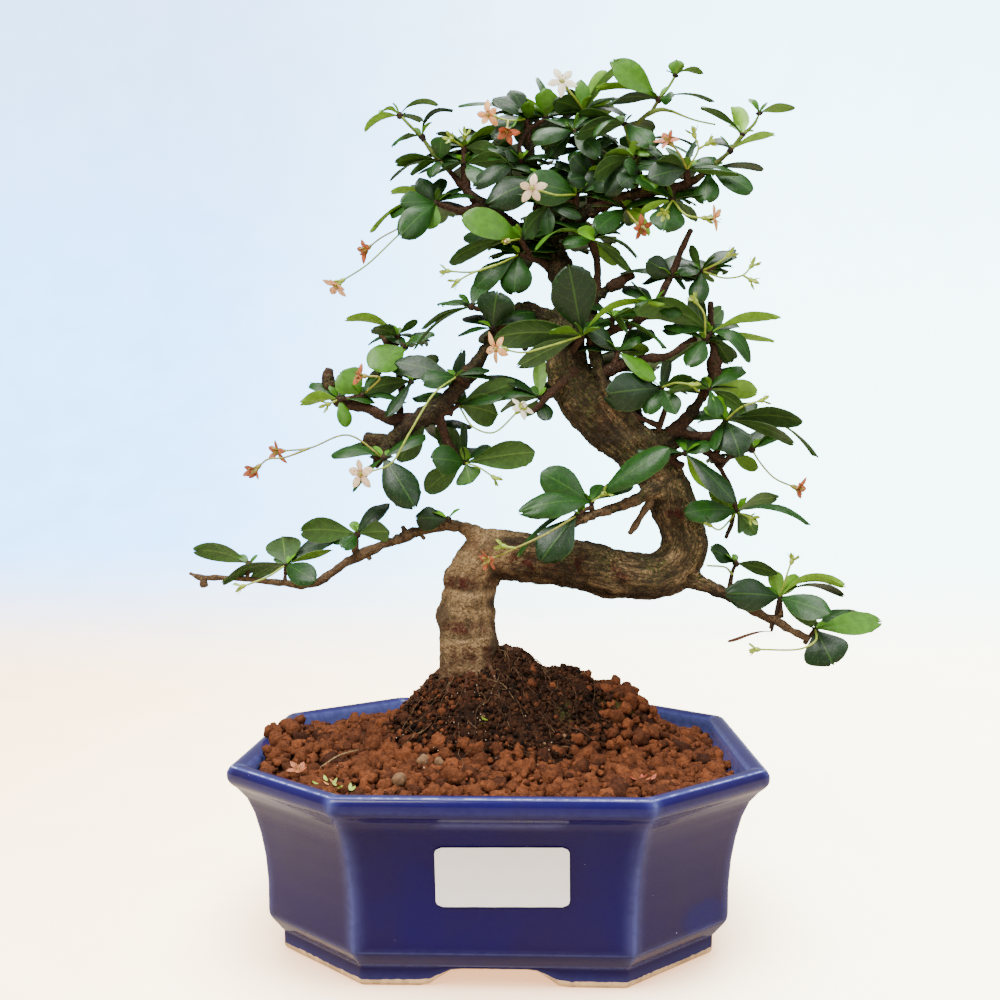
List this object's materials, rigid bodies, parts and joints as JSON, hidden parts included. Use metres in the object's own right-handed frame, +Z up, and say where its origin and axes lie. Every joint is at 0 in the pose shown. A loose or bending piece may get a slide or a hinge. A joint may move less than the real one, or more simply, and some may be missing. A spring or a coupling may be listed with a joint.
{
  "type": "potted bonsai tree",
  "caption": "Small flowering bonsai tree with an S-shaped trunk, leaf rosettes and open branches, rooted in granular soil in a glazed octagonal pot.",
  "frame": {"origin": "on the surface that the pot stands on, under the middle of the whole plant's width and depth, 14 mm to the right of the middle of the pot's foot", "axes": "+Z up along the height of the tree; -Y is the pot's front wall with the paper label, so +Y points away from a viewer in front; +X to that viewer's right"},
  "size_m": [0.2786, 0.195, 0.3516],
  "materials": {
    "glaze": "glossy cobalt to navy glaze that breaks paler on the edges, with an unglazed cream foot",
    "label_paper": "blank white satin paper label",
    "screen_plastic": "black plastic drainage mesh",
    "granules": "loose matt reddish-brown clay granules",
    "humus": "dark fibrous root ball with pale grains and root hairs",
    "bark": "tan-grey bark with olive moss film, reddish-brown patches and old pruning scars",
    "leaf": "leathery glossy dark green with tiny white dots, pale undersides, young leaves yellow-green",
    "petal_white": "thin matt white petals",
    "petal_peach": "withering peach to tan petals"
  },
  "bodies": {
    "root": {"pot": "glaze", "label": "label_paper", "drain_screen": "screen_plastic", "soil_bed": "granules", "root_plug": "humus", "trunk": "bark", "crown_left_shoot": "leaf", "crown_left_spur": "leaf", "crown_left_group": "leaf", "centre_left": "leaf", "inner_right": "leaf", "crown_inner": "leaf", "front_leaf": "leaf", "fork_shoot": "leaf", "round_leaf": "leaf", "knob_leaves": "leaf", "right_spray": "leaf", "right_low": "leaf", "right_slope": "leaf", "right_middle": "leaf", "centre_branch": "leaf", "lower_right_near": "leaf", "lower_right_middle": "leaf", "lower_right_tip": "leaf", "lower_left_middle": "leaf", "lower_left_far": "leaf", "lower_left_near": "leaf", "lower_left_leaf": "leaf", "left_top": "leaf", "left_branch_front": "leaf", "left_branch_back": "leaf", "left_far": "leaf", "left_stub": "leaf", "left_under": "leaf", "left_drop": "leaf", "left_arch": "leaf", "left_inner": "leaf", "trunk_left": "leaf", "crown_top": "leaf", "crown_top_left": "leaf", "crown_right_shoot": "leaf", "crown_right_near": "leaf", "crown_right_under": "leaf", "crown_middle_under": "leaf", "crown_right_tip": "leaf", "right_cut_twig": "leaf", "right_vertical": "leaf", "back_crown_left": "leaf", "back_crown_right": "leaf", "back_crown_middle": "leaf", "back_fork": "leaf", "back_left": "leaf", "petals_crown_white": "petal_white", "petals_crown_left": "petal_peach", "petals_crown_middle": "petal_peach", "petals_centre": "petal_peach", "petals_left_low": "petal_peach", "petals_left": "petal_peach", "petals_right": "petal_peach", "fallen_flower": "petal_peach"}
  },
  "joints": []
}
